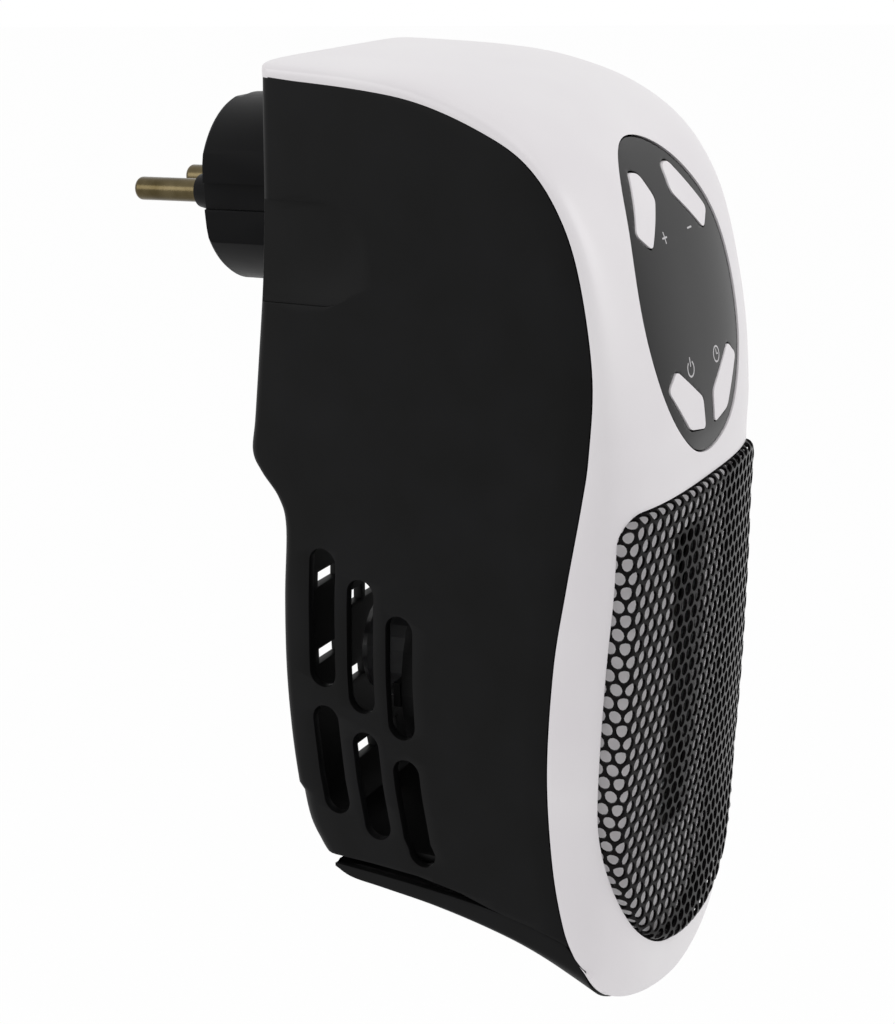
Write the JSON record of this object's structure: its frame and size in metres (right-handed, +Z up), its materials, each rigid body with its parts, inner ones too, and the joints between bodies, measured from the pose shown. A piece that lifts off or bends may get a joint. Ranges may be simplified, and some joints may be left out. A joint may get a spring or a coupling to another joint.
{
  "type": "plug-in fan heater",
  "caption": "Plug-in ceramic fan heater with a white front shell, black rear housing, perforated outlet grille, oval key panel and round two-pin plug.",
  "frame": {"origin": "middle of the flat face of the mains plug, on the line between its two pins", "axes": "+Z up, +Y towards the wall socket, along the pins, -Y the way the warm air blows, +X to the right as seen from the front"},
  "size_m": [0.0728, 0.1239, 0.1892],
  "materials": {
    "white": "satin gloss",
    "black": "fine satin",
    "plug": "satin",
    "panel": "high gloss",
    "grille": "gloss black enamel",
    "nickel": "nickel plated",
    "steel": "zinc plated",
    "aluminium": "mill",
    "circuit": "solder mask",
    "display": "smoked",
    "ceramic": null,
    "heatproof": "heatproof",
    "component": "moulded",
    "red": "moulded"
  },
  "bodies": {
    "case": {"front_shell": "white", "inner_bezel": "white", "rear_housing": "black", "bottom_cover": "black", "plug_retainer": "black", "fan_shroud": "black", "motor_bracket": "black", "plus_switch": "black", "minus_switch": "black", "power_switch": "black", "timer_switch": "black", "plug_body": "plug", "control_panel": "panel", "outlet_grille": "grille", "plug_pin_left": "nickel", "plug_pin_right": "nickel", "fan_motor": "steel", "thermal_cutout": "steel", "screw_top_left": "steel", "screw_top_right": "steel", "screw_low_left": "steel", "screw_low_right": "steel", "heater_fins_left": "aluminium", "heater_fins_right": "aluminium", "heater_core": "ceramic", "heater_frame": "heatproof", "control_board": "circuit", "power_board": "circuit", "display_module": "display", "relay_left": "component", "relay_right": "component", "mains_capacitor": "red", "plug_lead_left": "red", "plug_lead_right": "component", "heater_lead_left": "red", "heater_lead_right": "red", "motor_lead_left": "component", "motor_lead_right": "component"},
    "fan": {"fan_impeller": "black", "fan_shaft": "steel"},
    "plus_key": {"plus_button": "white"},
    "minus_key": {"minus_button": "white"},
    "power_key": {"power_button": "white"},
    "timer_key": {"timer_button": "white"}
  },
  "joints": [
    {"name": "fan_spin", "type": "hinge", "parent": "case", "child": "fan", "pos_m": [0, -0.0591, -0.097], "axis": [0, 1, 0], "continuous": true},
    {"name": "plus_press", "type": "slide", "parent": "case", "child": "plus_key", "axis": [0, 0.9613, -0.2756], "range_m": [0, 0.0008], "stiffness_N_per_m": 1200},
    {"name": "minus_press", "type": "slide", "parent": "case", "child": "minus_key", "axis": [0, 0.9613, -0.2756], "range_m": [0, 0.0008], "stiffness_N_per_m": 1200},
    {"name": "power_press", "type": "slide", "parent": "case", "child": "power_key", "axis": [0, 0.9613, -0.2756], "range_m": [0, 0.0008], "stiffness_N_per_m": 1200},
    {"name": "timer_press", "type": "slide", "parent": "case", "child": "timer_key", "axis": [0, 0.9613, -0.2756], "range_m": [0, 0.0008], "stiffness_N_per_m": 1200}
  ]
}
